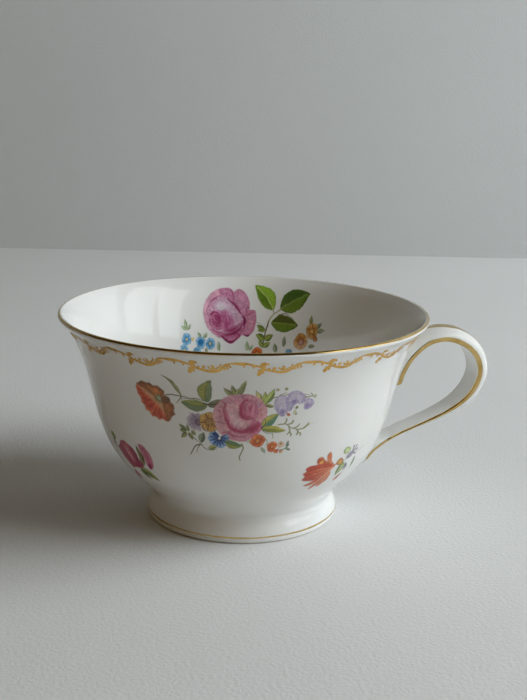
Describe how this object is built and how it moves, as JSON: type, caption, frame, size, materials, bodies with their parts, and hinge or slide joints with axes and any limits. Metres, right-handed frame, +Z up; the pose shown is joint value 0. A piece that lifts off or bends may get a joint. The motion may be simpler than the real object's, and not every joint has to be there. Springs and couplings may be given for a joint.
{
  "type": "teacup",
  "caption": "Footed porcelain teacup with a flared lip, a strap handle, gilt lines, a gold scroll border and floral transfers.",
  "frame": {"origin": "on the plane that the foot stands on, at the middle of the overall length and width", "axes": "+X towards the handle, +Z up along the cup's axis, which stands 10.2 mm to the -X side of the origin"},
  "size_m": [0.118, 0.0978, 0.0561],
  "materials": {
    "porcelain": "white hard-paste porcelain under a clear, mirror-smooth glaze",
    "slip": "fired white slip under the same glaze",
    "bright_gold": "thin bright gold, burnished",
    "scroll_gold": "printed gold, satin",
    "flower_enamel": "printed overglaze enamels, nearly as glossy as the glaze"
  },
  "bodies": {
    "root": {"bowl": "porcelain", "foot_ring": "porcelain", "handle": "porcelain", "foot_slip_joint": "slip", "upper_handle_slip_joint": "slip", "lower_handle_slip_joint": "slip", "rim_gilding": "bright_gold", "foot_gilding": "bright_gold", "handle_front_edge_gilding": "bright_gold", "handle_back_edge_gilding": "bright_gold", "handle_spine_gilding": "bright_gold", "scroll_border_transfer": "scroll_gold", "front_spray_transfer": "flower_enamel", "back_spray_transfer": "flower_enamel", "interior_spray_transfer": "flower_enamel", "front_left_sprig_transfer": "flower_enamel", "front_right_sprig_transfer": "flower_enamel", "back_left_sprig_transfer": "flower_enamel", "back_right_sprig_transfer": "flower_enamel"}
  },
  "joints": []
}
